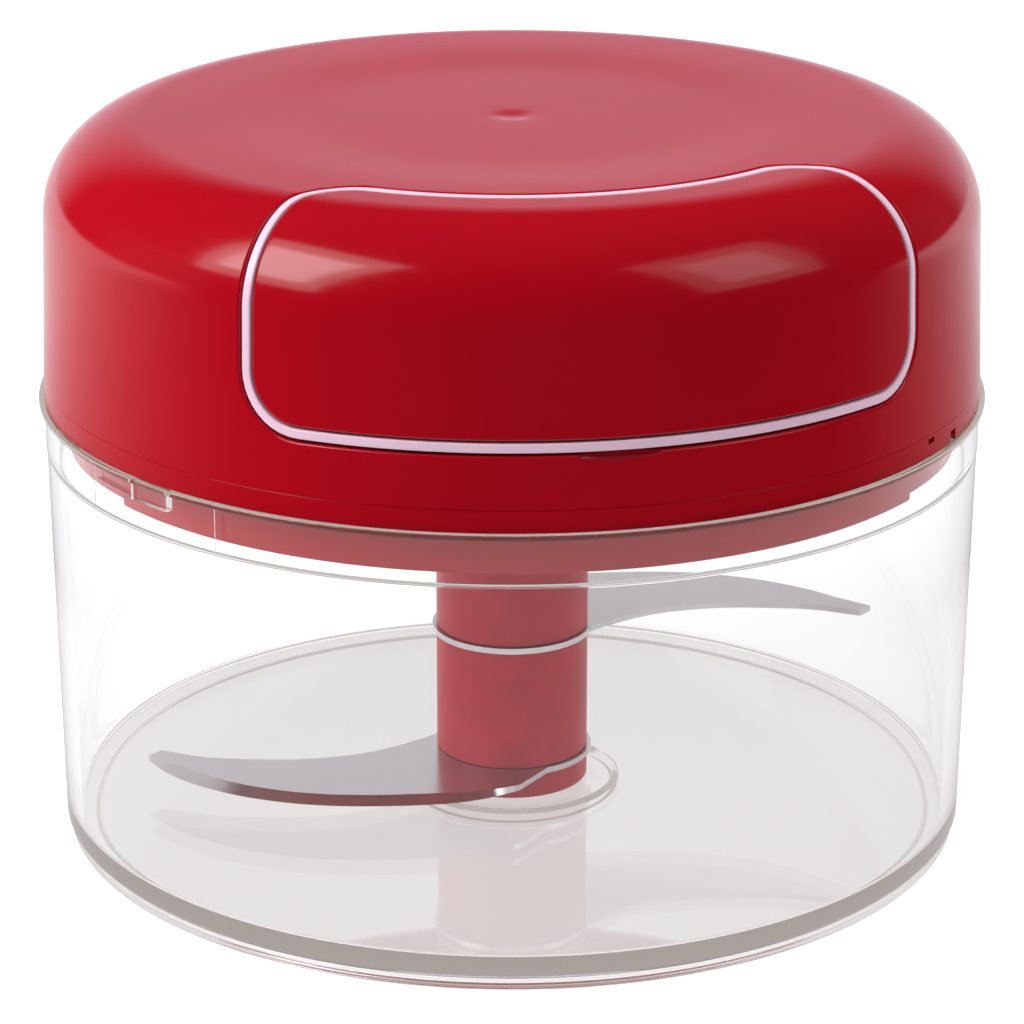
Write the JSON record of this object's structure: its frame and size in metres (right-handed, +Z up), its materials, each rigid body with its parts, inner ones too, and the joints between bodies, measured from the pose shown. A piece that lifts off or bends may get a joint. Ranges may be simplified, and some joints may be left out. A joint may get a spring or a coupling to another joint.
{
  "type": "pull-string food chopper",
  "caption": "Hand-pulled food chopper: clear round bowl, sickle blades on a hub that stands on a pin, and a red domed lid with cord spool and pull handle.",
  "frame": {"origin": "centre of the bowl's foot, on the surface that it stands on", "axes": "+Z up along the axis of bowl, rotor, spool and lid; the pull handle faces -Y and is pulled along -Y; +X to the right when looking at the handle"},
  "size_m": [0.1264, 0.1264, 0.0977],
  "materials": {
    "clear_plastic": "water-clear moulded plastic, polished",
    "red_plastic": "deep red gloss, moulded",
    "hub_plastic": "red satin, moulded",
    "white_plastic": "white satin, moulded",
    "mechanism_plastic": "natural white acetal",
    "blade_steel": "polished stainless sheet with a ground edge",
    "pin_steel": "turned stainless",
    "spring_steel": "blued strip",
    "screw_steel": "zinc plated",
    "cord_nylon": "braided nylon"
  },
  "bodies": {
    "bowl": {"bowl": "clear_plastic", "pivot_pin": "pin_steel"},
    "rotor": {"blade_hub": "hub_plastic", "upper_blade": "blade_steel", "hub_spacer": "hub_plastic", "lower_blade": "blade_steel", "hub_end_cap": "hub_plastic"},
    "lid": {"lid_base": "red_plastic", "lid_shell": "red_plastic", "base_screw_1": "screw_steel", "base_screw_2": "screw_steel", "base_screw_3": "screw_steel", "base_screw_4": "screw_steel", "cord_eyelet": "mechanism_plastic", "rewind_spring": "spring_steel", "cord_run": "cord_nylon", "thrust_washer": "mechanism_plastic"},
    "spool": {"spool": "mechanism_plastic", "spring_cover": "mechanism_plastic", "drive_coupling": "mechanism_plastic", "coupling_screw": "screw_steel", "cord_winding": "cord_nylon"},
    "handle": {"handle_cover": "red_plastic", "handle_frame": "white_plastic", "handle_screw_left": "screw_steel", "handle_screw_right": "screw_steel", "cord_knot": "cord_nylon"}
  },
  "joints": [
    {"name": "lid_lift", "type": "slide", "parent": "bowl", "child": "lid", "axis": [0, 0, 1], "range_m": [0, 0.08]},
    {"name": "blade_spin", "type": "hinge", "parent": "bowl", "child": "rotor", "pos_m": [0, 0, 0.0082], "axis": [0, 0, 1], "range_deg": [0, 1100]},
    {"name": "spool_spin", "type": "hinge", "parent": "lid", "child": "spool", "pos_m": [0, 0, 0.0729], "axis": [0, 0, 1], "range_deg": [0, 1100], "deforming": ["rewind_spring"]},
    {"name": "handle_pull", "type": "slide", "parent": "lid", "child": "handle", "axis": [0, -1, 0], "range_m": [0, 0.35], "stiffness_N_per_m": 20, "springref_m": -0.1, "deforming": ["cord_run"]}
  ],
  "couplings": [
    {"joint": "spool_spin", "follows": "handle_pull", "rad_per_m": 54.645},
    {"joint": "blade_spin", "follows": "handle_pull", "rad_per_m": 54.645}
  ]
}
